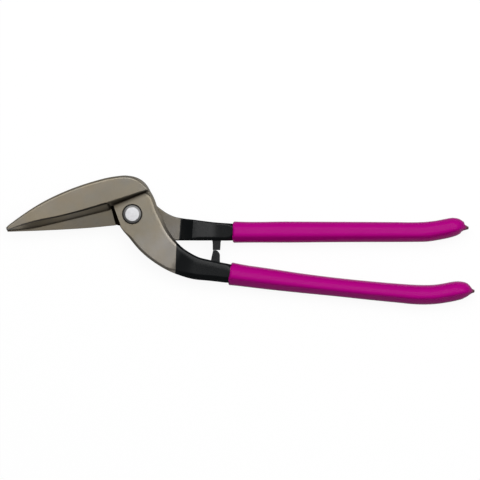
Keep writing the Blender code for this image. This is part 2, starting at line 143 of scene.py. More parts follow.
def finishPiece(piece, material, body, node, finish):
    # flat faces stay flat beside their rounded edges; the dipped grips are smooth all over
    pick(piece)
    dipped = finish == "dipped_vinyl"
    bpy.ops.object.shade_smooth_by_angle(angle=math.radians(dippedAngle if dipped else smoothAngle))
    if not dipped:
        weigh = piece.modifiers.new("weigh", "WEIGHTED_NORMAL")
        weigh.keep_sharp = True
        bpy.ops.object.modifier_apply(modifier=weigh.name)
    piece.data.materials.clear()
    piece.data.materials.append(material)
    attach(piece, body)
    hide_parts(node)
    print("made", piece.name, len(piece.data.polygons), "faces")


def smoothRun(rows, longest, straight=0):
    # a smooth curve through rows whose first two values are a place; the last ones may run straight
    spans = [math.dist(a[:2], b[:2]) for a, b in zip(rows, rows[1:])]
    rates = [[(q - p) / span for p, q in zip(a, b)] for a, b, span in zip(rows, rows[1:], spans)]
    slopes = [rates[0]]
    for i in range(1, len(rows) - 1):
        near, far = spans[i - 1], spans[i]
        slopes.append([(p * far + q * near) / (near + far) for p, q in zip(rates[i - 1], rates[i])])
    slopes.append(rates[-1])
    curve = []
    for i, span in enumerate(spans):
        steps = math.ceil(span / longest)
        for step in range(steps):
            t = step / steps
            start = 2 * t**3 - 3 * t**2 + 1
            lead = (t**3 - 2 * t**2 + t) * span
            trail = (t**3 - t**2) * span
            values = [
                p * start + u * lead + q * (1 - start) + v * trail
                for p, q, u, v in zip(rows[i], rows[i + 1], slopes[i], slopes[i + 1])
            ]
            for k in range(len(values) - straight, len(values)):
                values[k] = mix(rows[i][k], rows[i + 1][k], t)
            curve.append(values)
    curve.append(list(rows[-1]))
    return curve


def mix(start, end, share):
    return start + (end - start) * share


# Heights from the table up
levels = {
    "lowerBack": 4.7, "lowerSeat": 9.8, "upperSeat": 10.1, "lowerShear": 10.8, "upperShear": 11.1,
    "bossTop": 15.6, "armLow": 1.5, "armHigh": 14.5, "headFloor": 13.0, "springFloor": 6.0,
}

# A blade's outline: where a point stands at the shear face, then where the one above it stands
# on the outer face. The back runs from the tip to the head, the edge from the tip to the heel.
leafShape = {
    "back": (
        (-80.4, -8.65, -79.45, -8.75), (-79.2, -7.35, -78.5, -7.75), (-76.2, -5.0, -75.6, -5.75),
        (-71.3, -1.4, -70.75, -2.2), (-57.3, 7.6, -56.75, 6.5), (-42.0, 14.9, -41.5, 13.7),
        (-26.8, 20.3, -26.35, 19.05), (-11.5, 24.0, -11.25, 22.6), (-3.6, 24.64, -3.6, 23.2),
        (3.8, 23.0, 3.15, 21.4), (7.8, 20.3, 6.6, 18.9), (10.1, 17.5, 8.5, 16.9), (11.3, 15.4, 9.5, 15.95),
    ),
    "edge": (
        (-79.85, -10.3, -79.2, -9.5), (-74.5, -9.9, -74.3, -7.9), (-66.0, -9.2, -65.4, -5.0),
        (-58.6, -7.8, -58.3, -3.25), (-45.9, -4.8, -45.5, -0.7), (-33.1, -1.7, -32.8, 2.6),
        (-14.2, 2.9, -16.6, 7.35),
    ),
    "wall": ((-13.0, 5.1, -16.0, 7.65), (10.9, 14.55, 9.2, 15.8)),
    "thick": 7.37, "tipThick": 4.5, "reach": 80.4, "head": 11.3, "wallFoot": 4.2,
}
lowerBladeShape = {
    "back": (
        (-79.3, -11.2, -79.0, -10.9), (-60.0, -10.55, -59.9, -9.6), (-45.9, -9.9, -45.8, -8.8),
        (-26.8, -8.7, -26.7, -7.5), (-10.4, -7.1, -10.5, -6.0),
    ),
    "edge": (
        (-79.9, -9.6, -79.4, -10.2), (-74.5, -8.9, -74.4, -9.9), (-66.0, -7.3, -65.8, -8.7),
        (-58.6, -5.4, -58.3, -7.8), (-45.9, -1.8, -45.3, -5.1), (-33.1, 1.9, -32.5, -1.9),
        (-13.3, 7.4, -12.6, 3.5),
    ),
    "wall": (),
    "thick": 7.5, "tipThick": 4.5, "reach": 80.4, "head": 11.3, "wallFoot": 0,
}

# A blade's section, from the shear face up: how far each point has gone from the outline's lower place
# to its upper one, its shares of the lower and the upper part of the height, and what is added. Those parts
# are the flank and the chamfer at the back, the milled foot and the rest at the wall, the land and the
# bevel at the edge. Chamfers fall by a share of their width, told for X.
bladeSection = {
    "back": (
        (0.10, 0, 0, 0), (0, 0, 0, 0.12), (0, 1, 0, -0.45), (0.05, 1, 0, -0.12), (0.26, 1, 0.26, 0),
        (0.78, 1, 0.77, 0), (1.04, 1, 0.96, 0), (1.36, 1, 1, 0),
    ),
    "wall": (
        (0, 0, 0, 0), (0, 0, 0, 0.12), (0, 0.5, 0, 0), (0, 1, 0, 0), (0.14, 1, 0.42, 0),
        (0.62, 1, 0.88, 0), (0.92, 1, 0.985, 0), (1.10, 1, 1, 0),
    ),
    "edge": (
        (0.01, 0, 0, 0), (0, 0.3, 0, 0), (0, 0.8, 0, 0), (0.02, 1, 0.015, 0), (0.78, 1, 0.53, 0),
        (0.86, 1, 0.64, 0), (0.985, 1, 0.965, 0), (1.07, 1, 1, 0),
    ),
    "land": 0.4, "backFall": ((0.0, 0.62), (6.0, 1.25)), "backStep": 1.3, "edgeStep": 2,
}


def bladePiece(name, shape, shear, side):
    # a soft edge all round, a chamfered back and a long ground bevel up from the cutting edge
    lean = (shape["thick"] - shape["tipThick"]) / (shape["reach"] + shape["head"])
    columns = []

    def thick(x):
        return shape["thick"] - (shape["head"] - x) * lean

    def addColumn(row, place, lower, upper):
        rises = [(share, a * lower + b * upper + more) for share, a, b, more in bladeSection[place]]
        columns.append((row, rises))

    for row in smoothRun(shape["back"], bladeSection["backStep"]):
        chamfer = sizeAt(bladeSection["backFall"], row[0]) * math.dist(row[:2], row[2:])
        addColumn(row, "back", thick(row[0]) - chamfer, chamfer)
    for row in reversed(shape["wall"]):
        addColumn(row, "wall", shape["wallFoot"], thick(row[2]) - shape["wallFoot"])
    for row in reversed(smoothRun(shape["edge"], bladeSection["edgeStep"])):
        addColumn(row, "edge", bladeSection["land"], thick(row[2]) - bladeSection["land"])
    rings = []
    for k in range(len(columns[0][1])):
        ring = []
        for row, rises in columns:
            share, rise = rises[k]
            x, y = mix(row[0], row[2], share), mix(row[1], row[3], share)
            ring.append(onTable(x, y, shear + side * rise))
        rings.append(ring)
    return extrudedPiece(name, rings)


# Stations of each limb, from its boss to the end of its grip: place, width across, and how far
# the section has grown from the thin boss to the full arm. A grip's widths are its outside ones.
# Top chamfers, on the left and on the right, the brow's width and the lean are told for X.
nearLimb = {
    "neck": (
        (-3.2, 17.0, 20.0, 0), (-0.4, 10.45, 25.0, 0), (1.85, 5.05, 26.5, 0), (3.6, -0.6, 26.8, 0),
        (7.8, -7.35, 24.95, 0), (13.2, -15.7, 22.45, 0), (20.0, -22.9, 19.8, 0), (26.94, -28.26, 17.5, 0.4),
        (33.1, -31.54, 16.0, 0.8), (40.47, -34.33, 14.55, 1), (48.25, -35.68, 13.35, 1),
        (55.0, -36.78, 12.55, 1), (60.0, -37.55, 12.2, 1),
    ),
    "grip": (
        (62.1, -37.85, 14.9, 1), (65.5, -38.35, 14.45, 1), (71.9, -39.3, 13.95, 1), (84.1, -40.9, 13.65, 1),
        (107.0, -43.85, 12.6, 1), (129.8, -46.4, 11.95, 1), (152.8, -48.8, 12.05, 1), (168.2, -50.2, 12.25, 1),
        (183.4, -51.3, 12.65, 1), (191.1, -51.2, 12.55, 1), (198.7, -50.3, 12.5, 1), (205.0, -49.1, 12.5, 1),
    ),
    "end": (
        (208.5, -48.55, 11.9, 1), (210.4, -48.4, 11.1, 1), (211.7, -48.3, 10.2, 1), (212.9, -48.5, 9.3, 1),
        (214.2, -48.6, 7.4, 1), (215.5, -48.85, 4.8, 1), (216.5, -48.95, 2.9, 1), (217.3, -49.0, 2.2, 1),
        (218.1, -49.0, 1.4, 1),
    ),
    "bossLow": levels["upperSeat"], "bossHigh": levels["bossTop"], "lowChamfer": 1.6,
    "topChamfers": (
        ((3.8, 0.2), (9.0, 1.2), (26.0, 1.3), (38.0, 3.3), (61.0, 3.3), (63.5, 4.0)),
        ((10.0, 1.9), (24.0, 1.4), (30.0, 1.3), (60.5, 1.3), (63.5, 3.6)),
    ),
    "brow": ((26.0, 1.2), (36.0, 2.3)), "lean": ((29.0, 0.1), (30.5, 2.0), (34.4, 2.0), (37.6, 0.28)),
}
farLimb = {
    "neck": (
        (-18.0, -2.2, 9.5, 0), (-12.5, -0.3, 13.4, 0), (-6.0, 0.9, 18.2, 0), (0.0, 0.7, 21.0, 0),
        (6.5, -1.2, 21.4, 0), (12.5, -4.5, 19.7, 0), (19.0, -7.3, 17.2, 0), (25.0, -9.0, 15.5, 0),
        (31.0, -9.65, 14.3, 0), (38.5, -10.1, 13.4, 1), (43.5, -10.45, 12.75, 1), (50.0, -10.85, 11.9, 1),
        (56.0, -11.15, 11.4, 1), (60.0, -11.3, 11.2, 1),
    ),
    "grip": (
        (64.1, -11.4, 13.8, 1), (100.0, -11.4, 13.5, 1), (137.0, -11.35, 13.05, 1),
        (168.0, -11.4, 12.8, 1), (179.6, -11.43, 12.65, 1), (187.3, -11.2, 12.75, 1),
        (194.9, -10.2, 12.5, 1), (200.9, -9.0, 12.4, 1), (205.0, -8.1, 11.9, 1),
    ),
    "end": (
        (207.0, -7.95, 10.9, 1), (208.2, -7.95, 10.0, 1), (209.3, -8.0, 8.7, 1), (210.5, -8.1, 6.7, 1),
        (211.45, -8.55, 4.0, 1), (212.3, -8.55, 3.2, 1), (213.1, -8.7, 2.5, 1), (214.3, -8.8, 1.5, 1),
    ),
    "bossLow": levels["lowerBack"], "bossHigh": levels["lowerSeat"], "lowChamfer": 1.7,
    "topChamfers": (
        ((25.0, 0.4), (36.0, 0.8), (42.0, 1.9), (61.5, 1.9), (64.5, 4.0)),
        ((25.0, 0.4), (38.5, 0.9), (61.5, 0.9), (65.0, 2.6)),
    ),
    "brow": ((26.0, 0.3), (36.0, 0.4)), "lean": ((38.0, 0), (39.0, -0.4), (51.0, -0.4), (53.0, 0.5)),
}
# What both arms share: falls are for each mm across, soft sizes round the section's corners
arms = {
    "lowChamfer": 2.5, "leftFall": 0.72, "rightFall": ((22.0, 1.45), (29.0, 0.72)),
    "browFall": ((24.0, 0.13), (30.0, 0.045)), "soft": 0.4, "topSoft": 0.3, "ridgeSoft": 0.65, "browSoft": 0.25,
    "mostSoft": 0.45, "step": 2.2, "cover": 1.5,
}


def sizeAt(table, x):
    # linear between the table's rows, level before and after them
    for (x0, size0), (x1, size1) in zip(table, table[1:]):
        if x < x1:
            return mix(size0, size1, max(0, (x - x0) / (x1 - x0)))
    return table[-1][1]


def softCorners(corners, roundings):
    # each corner of a section becomes a five-point curve
    points = []
    count = len(corners)
    for i, here in enumerate(corners):
        ends = []
        for beside in (corners[i - 1], corners[(i + 1) % count]):
            reach = min(roundings[i] / math.dist(here, beside), arms["mostSoft"])
            ends.append([mix(a, b, reach) for a, b in zip(here, beside)])
        for t in (0, 0.25, 0.5, 0.75, 1):
            weights = ((1 - t) ** 2, 2 * t * (1 - t), t**2)
            curve = list(zip(weights, (ends[0], here, ends[1])))
            points.append(tuple(sum(weight * point[k] for weight, point in curve) for k in (0, 1)))
    return points


def barSection(half, low, high, lowChamfer, leftTop, rightTop, rightFall, brow, fall, lean):
    # a worn strip, the brow, falls gently to the right-hand chamfer
    fallen = high - brow * fall
    corners = (
        (-half, low + lowChamfer), (-half, high - lean - leftTop * arms["leftFall"]), (-half + leftTop, high - lean),
        (half - rightTop - brow, high), (half - rightTop, fallen), (half, fallen - rightTop * rightFall),
        (half, low + lowChamfer), (half - lowChamfer, low), (-half + lowChamfer, low),
    )
    soft, topSoft, most = arms["soft"], arms["topSoft"], arms["mostSoft"] * brow
    ridge = min(arms["ridgeSoft"], leftTop / 2)
    return softCorners(corners, (soft, topSoft, ridge, most, min(arms["browSoft"], most), topSoft, soft, soft, soft))


def acrossRings(line, section):
    # one ring square to the line at each of its points
    rings = []
    for before, here, after in zip(line[:1] + line, line, line[1:] + line[-1:]):
        along = Vector((after[0] - before[0], after[1] - before[1], 0)).normalized()
        across = Vector((-along.y, along.x, 0))
        centre = Vector((here[0], here[1], 0))
        rings.append([(centre + across * s + Vector((0, 0, z))) * mm for s, z in section(here)])
    return rings


def handleLine(limb):
    # the widths on the grip's stretch shrink to the tang's
    covered = [(x, y, w - 2 * arms["cover"], g) for x, y, w, g in limb["grip"] + limb["end"]]
    line = smoothRun(list(limb["neck"]) + covered, arms["step"], straight=1)
    mouth, tip = (next(i for i, row in enumerate(line) if row[0] >= limb["grip"][k][0] - 0.01) for k in (0, -1))
    return line, mouth, tip


def limbPiece(name, limb):
    line, _, tip = handleLine(limb)

    def section(here):
        x, _, wide, growth = here
        return barSection(
            half=wide / 2,
            low=mix(limb["bossLow"], levels["armLow"], growth),
            high=mix(limb["bossHigh"], levels["armHigh"], growth),
            lowChamfer=mix(limb["lowChamfer"], arms["lowChamfer"], growth),
            leftTop=sizeAt(limb["topChamfers"][0], x),
            rightTop=sizeAt(limb["topChamfers"][1], x),
            rightFall=sizeAt(arms["rightFall"], x),
            brow=sizeAt(limb["brow"], x),
            fall=sizeAt(arms["browFall"], x),
            lean=sizeAt(limb["lean"], x),
        )

    return extrudedPiece(name, acrossRings(line[: tip + 1], section))


# Stop lugs: slices of (y, low x, high x); the far arm's lug comes down, the near one's goes up
lugs = {
    "low": 4.2, "high": 11.8, "rounding": 0.45,
    "far": (
        (-15.6, 50.9, 56.9), (-16.9, 51.0, 56.7), (-17.9, 51.2, 56.4), (-19.8, 51.3, 56.3), (-22.88, 51.3, 56.1),
    ),
    "near": (
        (-32.2, 49.7, 56.2), (-30.9, 49.9, 56.0), (-29.6, 50.1, 55.9), (-27.6, 50.5, 55.9),
        (-25.8, 50.9, 55.9), (-24.6, 51.2, 55.5), (-23.6, 51.4, 54.6), (-22.95, 51.7, 53.5),
    ),
}


def lugPiece(name, slices):
    rings = []
    for y, left, right in slices:
        corners = ((left, lugs["low"]), (right, lugs["low"]), (right, lugs["high"]), (left, lugs["high"]))
        rings.append([onTable(x, y, z) for x, z in softCorners(corners, [lugs["rounding"]] * 4)])
    return extrudedPiece(name, rings)


# The bolt: its head's rim and its end are tables of (radius, height), and mouths are the worn edges
# of its recesses, told as (out, up). Cutters run past a face by the overrun, and flare there.
bolt = {
    "head": 6.2, "headTop": 15.9, "headLow": 13.3, "headSoft": 0.15, "headGap": 0.3,
    "face": 4.35, "faceSoft": ((-0.1, 0), (0.06, -0.05)), "slope": 5.65, "slopeLow": 15.22,
    "rim": ((5.9, 14.92), (6.1, 14.47), (6.2, 14.02)), "mouth": ((0.12, 0.02), (0, -0.15)),
    "shank": 4.5, "shankGap": 0.3, "thread": 4.0, "threadGap": 0.3, "undercut": 0.3,
    "end": ((4.0, 0.5), (3.58, 0.06), (3.45, 0)),
}
overrun, flare = 2, 1.2


# The milled slot between the lower blade's heel and the near boss, and how far the painted shade in it reaches past
# its walls
slot = {
    "bossSide": ((-11.75, 4.9), (-7.35, -6.9), (-10.5, -9.5), (-13.2, 2.2), (-13.15, 4.55)),
    "ends": ((-12.6, 6.5), (-8.5, -9.0)), "width": 2.8, "floor": 6.9, "bottom": 7.4,
    "over": 1, "shadeMargin": 0.1,
}


def cutBlock(name, outline, low, high):
    return extrudedPiece(name, [[onTable(x, y, z) for x, y in outline] for z in (low, high)])


def slotCutter():
    # a V-shaped groove, run along the heel
    (x0, y0), (x1, y1) = slot["ends"]
    across = Vector((y0 - y1, x1 - x0, 0)).normalized() * slot["width"] / 2 * mm
    top = levels["lowerShear"] + slot["over"]
    rings = []
    for x, y in slot["ends"]:
        ring = [onTable(x, y, top) + across, onTable(x, y, slot["bottom"]) + across, onTable(x, y, slot["floor"])]
        rings.append(ring + [onTable(x, y, slot["bottom"]) - across, onTable(x, y, top) - across])
    return extrudedPiece("heelSlot", rings)


# The shoulder runs down from the blade to the neck along the outer flank: place, way in, height
shoulder = {
    "rows": (
        (8.6, 19.3, 17.2), (10.1, 17.45, 16.9), (11.2, 15.6, 16.3), (12.0, 14.0, 15.95), (12.9, 12.2, 15.45),
        (13.45, 10.7, 14.95),
    ),
    "section": (
        (0.05, -4.5), (0.05, -2.2), (0.2, -1.85), (1.35, -0.15), (1.7, 0), (2.1, -0.05), (3.3, -0.45), (4.8, -1.1),
        (6.2, -1.9), (6.2, -4.5),
    ),
}


def shoulderPiece():
    places = [row[:2] for row in shoulder["rows"]]
    rings = []
    for (x, y, z), before, after in zip(shoulder["rows"], places[:1] + places, places[1:] + places[-1:]):
        inward = Vector((after[1] - before[1], before[0] - after[0], 0)).normalized()
        rings.append([onTable(x, y, z + rise) + inward * inset * mm for inset, rise in shoulder["section"]])
    return extrudedPiece("shoulderRamp", rings)


def upperHalf(material):
    half = bladePiece("upperBladeHalf", leafShape, levels["upperShear"], 1)
    combine(half, shoulderPiece(), "UNION")
    combine(half, limbPiece("nearLimb", nearLimb), "UNION")
    combine(half, lugPiece("nearLug", lugs["near"]), "UNION")
    low, top, floor, over = levels["upperSeat"], levels["bossTop"], levels["headFloor"], slot["over"]
    combine(half, cutBlock("flankCut", slot["bossSide"], low - over, top + over), "DIFFERENCE")
    wide, narrow = bolt["head"] + bolt["headGap"], bolt["shank"] + bolt["shankGap"]
    mouth = [(wide + out, top + up) for out, up in bolt["mouth"]]
    recess = (
        (0, top + overrun), (wide + flare, top + overrun), *mouth,
        (wide, floor), (narrow, floor), (narrow, low - overrun), (0, low - overrun),
    )
    combine(half, turnedPiece("headRecess", recess), "DIFFERENCE")
    finishPiece(half, material, "upper_blade_body", "upper_blade_half", "forged_steel")


def lowerHalf(material):
    half = bladePiece("lowerBladeHalf", lowerBladeShape, levels["lowerShear"], -1)
    combine(half, limbPiece("farLimb", farLimb), "UNION")
    combine(half, lugPiece("farLug", lugs["far"]), "UNION")
    combine(half, slotCutter(), "DIFFERENCE")
    wide, narrow = spring["outer"] + spring["gap"], bolt["shank"] + bolt["shankGap"]
    top, low, floor = levels["lowerSeat"], levels["lowerBack"], levels["springFloor"]
    mouth = [(wide + out, low + up) for out, up in spring["mouth"]]
    counterbore = (
        (0, top + overrun), (narrow, top + overrun), (narrow, floor), (wide, floor),
        *mouth, (wide + flare, low - overrun), (0, low - overrun),
    )
    combine(half, turnedPiece("springRecess", counterbore), "DIFFERENCE")
    finishPiece(half, material, "lower_blade_body", "lower_blade_half", "forged_steel")


# A grip's section is cut by planes of (angle, distance): both grips share the lower ones
gripShape = {
    "sides": 64, "power": 12, "middle": 8.0, "rim": 1.3, "rimSteps": 5, "rimReach": 0.1, "lip": 0.18,
    "socketGap": 0.25, "socketChamfer": 1.6, "socketShare": 0.96, "dripShares": (1.0, 0.9, 0.6, 0.2),
    "upperTop": ((0, 1.0), (45, 1.07), (84, 0.985), (140, 0.93)),
    "lowerTop": ((0, 1.0), (30, 1.0), (58, 1.0), (86, 0.985), (140, 0.90)),
    "under": ((180, 1.0), (225, 1.16), (270, 1.0), (315, 1.16)),
}


def gripReach(turn, planes):
    # a chamfered bar with every corner drawn soft by the dip
    total = 0
    for angle, distance in planes:
        total += max(0, math.cos(turn - math.radians(angle)) / distance) ** gripShape["power"]
    return total ** (-1 / gripShape["power"])


def gripPiece(name, limb, top, material, body, node):
    line, mouth, tip = handleLine(limb)
    cover, middle, gap, sides = arms["cover"], gripShape["middle"], gripShape["socketGap"], gripShape["sides"]
    full = line[tip][2] + 2 * cover

    def oval(here, shrink):
        wide = here[2] / 2 + cover - shrink
        tall = (middle - shrink) * min(1, (here[2] + 2 * cover) / full)
        points = []
        for i in range(sides):
            turn = 2 * math.pi * i / sides
            reach = gripReach(turn, top + gripShape["under"])
            points.append((math.cos(turn) * reach * wide, middle + math.sin(turn) * reach * tall))
        return points

    def socket(here):
        # the arm's section, a hair larger, met at the same angles as the oval's points
        half, high = here[2] / 2 + gap, levels["armHigh"] + gap - middle
        points = []
        for side, up in oval(here, 0):
            up -= middle
            slant = (half + high - gripShape["socketChamfer"]) / max(abs(side) + abs(up), 1e-6)
            reach = min(half / max(abs(side), 1e-6), high / max(abs(up), 1e-6), slant, gripShape["socketShare"])
            points.append((side * reach, middle + up * reach))
        return points

    def into(distance):
        near, far = line[mouth], line[mouth + 1]
        share = distance / math.dist(near[:2], far[:2])
        return [mix(p, q, share) for p, q in zip(near, far)]

    rings = acrossRings(list(reversed(line[mouth + 1 :])), lambda here: [(-s, z) for s, z in oval(here, 0)])
    rim, reach = [], gripShape["rimReach"]
    for step in range(gripShape["rimSteps"] + 1):
        turn = math.pi / 2 * step / gripShape["rimSteps"]
        depth = gripShape["rim"] * (1 - math.sin(turn))
        shrink = gripShape["rim"] * (1 - math.cos(turn))
        near = [into(depth + distance) for distance in (-reach, 0, reach)]
        rim.append(acrossRings(near, lambda here: oval(here, shrink))[1])
    inside = acrossRings(line[mouth : tip + 1], socket)
    for ring in rim[-2:] + inside[:1]:
        # the dipped edge isn't quite even
        for i, point in enumerate(ring):
            turn = 2 * math.pi * i / sides
            point.x += gripShape["lip"] * mm * (0.6 * math.sin(2 * turn + 1) + 0.4 * math.sin(5 * turn))
    piece = extrudedPiece(name, rings + rim + inside)
    drip = piece.data.attributes.new(name="drip", type="FLOAT", domain="POINT")
    for i, share in enumerate(gripShape["dripShares"]):
        for k in range(sides):
            drip.data[i * sides + k].value = share
    finishPiece(piece, material, body, node, "dipped_vinyl")


def pivotBolt(material):
    top, low, soft = bolt["headTop"], bolt["headLow"], bolt["headSoft"]
    edge = [(bolt["face"] + out, top + up) for out, up in bolt["faceSoft"]]
    profile = (
        (0, top), *edge, (bolt["slope"], bolt["slopeLow"]), *bolt["rim"],
        (bolt["head"], low + soft), (bolt["head"] - soft, low),
        (bolt["shank"], low), (bolt["shank"], levels["springFloor"]),
        (bolt["thread"], levels["springFloor"] - bolt["undercut"]), *bolt["end"], (0, 0),
    )
    finishPiece(turnedPiece("pivotBolt", profile), material, "lower_blade_body", "pivot_bolt", "bright_steel")


# The dished spring washer in the counterbore
spring = {
    "outer": 8.0, "low": 4.9, "high": 5.7, "thick": 0.6, "soft": 0.08, "gap": 0.3, "mouth": ((0, 0.22), (0.2, -0.02)),
}


def discSpring(material):
    inner, outer = bolt["thread"] + spring["gap"], spring["outer"]
    low, high, thick, soft = spring["low"], spring["high"], spring["thick"], spring["soft"]
    profile = (
        (outer - soft, high), (outer, high - soft), (outer, high - thick + soft), (outer - soft, high - thick),
        (inner + soft, low), (inner, low + soft), (inner, low + thick - soft), (inner + soft, low + thick),
    )
    finishPiece(turnedPiece("discSpring", profile), material, "lower_blade_body", "disc_spring", "spring_steel")


# The nylon ring that locks the nut, in the nut's collar
lock = {"outer": 5.1, "low": 0.3, "high": 1.1, "soft": 0.12, "gap": 0.3}


def lockRing(material):
    inner, outer = bolt["thread"] + lock["gap"], lock["outer"]
    low, high, soft = lock["low"], lock["high"], lock["soft"]
    profile = (
        (inner + soft, high), (outer, high), (outer, low + soft), (outer - soft, low),
        (inner + soft, low), (inner, low + soft), (inner, high - soft),
    )
    finishPiece(turnedPiece("lockRing", profile), material, "lower_blade_body", "nut_lock_ring", "nylon")


# The thin locknut: a chamfered hexagon, a round collar below it, and a bore with a recess for the ring
nut = {
    "flat": 6.5, "high": 4.6, "low": 1.4, "chamfer": 0.7, "spare": 0.3, "faceSoft": 0.1,
    "collar": 6.3, "collarSoft": ((-0.3, 0.05), (-0.45, 0)), "collarFlank": 0.35, "recess": 5.4, "recessSoft": 0.2,
    "countersink": ((1.4, 2), (0.4, 0.01), (0, -0.4)),
}


def pivotNut(material):
    low, high, flat, soft = nut["low"], nut["high"], nut["flat"], nut["faceSoft"]
    corner = flat / math.cos(math.pi / 6)
    bpy.ops.mesh.primitive_cylinder_add(
        vertices=6, radius=corner * mm, depth=(high - low) * mm, location=onTable(0, 0, (high + low) / 2)
    )
    piece = addedPrimitive("pivotNut")
    bpy.ops.object.transform_apply()
    wide = corner + nut["spare"]
    fall = nut["chamfer"] * (wide - flat) / (corner - flat)
    envelope = (
        (0, high + 0.01), (flat - soft, high + 0.01), (wide, high - fall), (wide, low + fall),
        (flat - soft, low - 0.01), (0, low - 0.01),
    )
    combine(piece, turnedPiece("nutEnvelope", envelope), "INTERSECT")
    collar, recess, thread = nut["collar"], nut["recess"], bolt["thread"] + bolt["threadGap"]
    foot = [(collar + out, up) for out, up in nut["collarSoft"]]
    sleeve = ((0, high - 1), (collar, high - 1), (collar, nut["collarFlank"]), *foot, (0, 0))
    combine(piece, turnedPiece("nutCollar", sleeve), "UNION")
    mouth = [(thread + out, high + up) for out, up in nut["countersink"]]
    soft = nut["recessSoft"]
    bore = (
        (0, high + overrun), *mouth, (thread, low),
        (recess, low), (recess, soft), (recess + soft, -0.01), (recess + soft, -overrun), (0, -overrun),
    )
    combine(piece, turnedPiece("nutBore", bore), "DIFFERENCE")
    finishPiece(piece, material, "lower_blade_body", "pivot_nut", "zinc_plated_steel")


# Materials: the surface effects that several of them share are node groups


def feed(tree, node, inputs):
    # another node's socket is linked, any other value is set
    for name, value in dict(inputs).items():
        if isinstance(value, bpy.types.NodeSocket):
            tree.links.new(value, node.inputs[name])
        else:
            node.inputs[name].default_value = value


def addNode(tree, kind, inputs=(), **settings):
    made = tree.nodes.new("ShaderNode" + kind)
    for name, value in settings.items():
        setattr(made, name, value)
    feed(tree, made, inputs)
    return made


def newGroup(name, inputs, outputs):
    tree = bpy.data.node_groups.new(name, "ShaderNodeTree")
    for way, sockets in (("INPUT", inputs), ("OUTPUT", outputs)):
        for socket, kind in sockets.items():
            tree.interface.new_socket(name=socket, in_out=way, socket_type="NodeSocket" + kind)
    return tree, tree.nodes.new("NodeGroupInput").outputs, tree.nodes.new("NodeGroupOutput").inputs


def combined(tree, first, second, operation):
    return addNode(tree, "Math", {0: first, 1: second}, operation=operation).outputs[0]


def groundGrainGroup():
    # fine scratches, stretched along X
    tree, given, out = newGroup(
        "groundGrain", {"Vector": "Vector", "Fineness": "Float", "Stretch": "Float"}, {"Streaks": "Float"}
    )
    shrink = combined(tree, 1.0, given["Stretch"], "DIVIDE")
    squeeze = addNode(tree, "CombineXYZ", {"X": shrink, "Y": 1.0, "Z": 1.0})
    stretched = addNode(tree, "VectorMath", {0: given["Vector"], 1: squeeze.outputs[0]}, operation="MULTIPLY")
    noise = addNode(
        tree, "TexNoise", {"Vector": stretched.outputs[0], "Scale": given["Fineness"], "Detail": 3.0, "Roughness": 0.6}
    )
    tree.links.new(noise.outputs["Fac"], out["Streaks"])
    return tree


def mottleGroup():
    # slow, cloudy change over the surface
    tree, given, out = newGroup("mottle", {"Vector": "Vector", "Size": "Float"}, {"Cloud": "Float"})
    scale = combined(tree, 1.0, given["Size"], "DIVIDE")
    noise = addNode(tree, "TexNoise", {"Vector": given["Vector"], "Scale": scale, "Detail": 4.0, "Roughness": 0.5})
    spread = addNode(tree, "MapRange", {"Value": noise.outputs["Fac"], "From Min": 0.3, "From Max": 0.7})
    tree.links.new(spread.outputs["Result"], out["Cloud"])
    return tree


def specksGroup():
    # small pits or dust, most of the surface free of them
    tree, given, out = newGroup(
        "specks", {"Vector": "Vector", "Size": "Float", "Amount": "Float"}, {"Mask": "Float"}
    )
    scale = combined(tree, 1.0, given["Size"], "DIVIDE")
    cells = addNode(tree, "TexNoise", {"Vector": given["Vector"], "Scale": scale, "Detail": 1.0})
    above = combined(tree, cells.outputs["Fac"], combined(tree, 1.0, given["Amount"], "SUBTRACT"), "SUBTRACT")
    sharp = addNode(tree, "Math", {0: above, 1: 18.0}, operation="MULTIPLY", use_clamp=True)
    tree.links.new(sharp.outputs[0], out["Mask"])
    return tree


def newMaterial(name):
    material = bpy.data.materials.new(name)
    material.use_nodes = True
    tree = material.node_tree
    shader = tree.nodes["Principled BSDF"]
    coords = tree.nodes.new("ShaderNodeTexCoord").outputs["Object"]
    return material, tree, shader, coords


def useGroup(tree, group, inputs):
    return addNode(tree, "Group", inputs, node_tree=group).outputs[0]


def mixColour(tree, factor, first, second, blend="MIX"):
    first, second = ((*value, 1.0) if isinstance(value, tuple) else value for value in (first, second))
    return addNode(tree, "Mix", {0: factor, 6: first, 7: second}, data_type="RGBA", blend_type=blend).outputs[2]


def mixValue(tree, factor, first, second):
    return addNode(tree, "Mix", {0: factor, 2: first, 3: second}, data_type="FLOAT").outputs[0]


def ranged(tree, value, low, high, first=0.0, last=1.0):
    made = addNode(
        tree, "MapRange", {"Value": value, "From Min": low, "From Max": high, "To Min": first, "To Max": last}
    )
    return made.outputs["Result"]


def bumped(tree, height, values):
    return addNode(tree, "Bump", {**values, "Height": height}).outputs[0]


def greyOf(tree, level):
    # a grey colour of that level
    made = addNode(tree, "CombineColor")
    for k in range(3):
        tree.links.new(level, made.inputs[k])
    return made.outputs[0]
